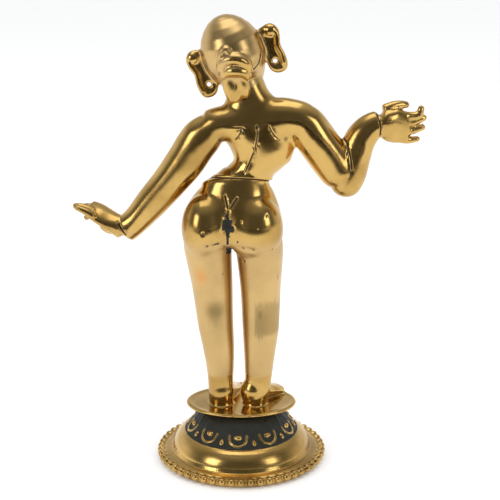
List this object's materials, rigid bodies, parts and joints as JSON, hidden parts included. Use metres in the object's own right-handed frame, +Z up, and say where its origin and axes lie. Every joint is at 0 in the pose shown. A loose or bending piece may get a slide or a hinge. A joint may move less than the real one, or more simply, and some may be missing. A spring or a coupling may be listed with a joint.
{
  "type": "radha statue",
  "caption": "Standing female figure in cast brass, one arm raised and one hanging, hair in a knot, on a round lotus base with a beaded rim; a display sculpture.",
  "frame": {"origin": "centre of the flat underside of the round base", "axes": "+Z up through the figure; the figure faces +Y, so its back, the side shown in the picture, is towards -Y; +X is towards its lifted arm"},
  "size_m": [0.2492, 0.124, 0.3277],
  "materials": {
    "figure": "polished antique",
    "lotus_base": "polished antique, dark recesses"
  },
  "bodies": {
    "root": {"figure": "figure", "lotus_base": "lotus_base"}
  },
  "joints": []
}
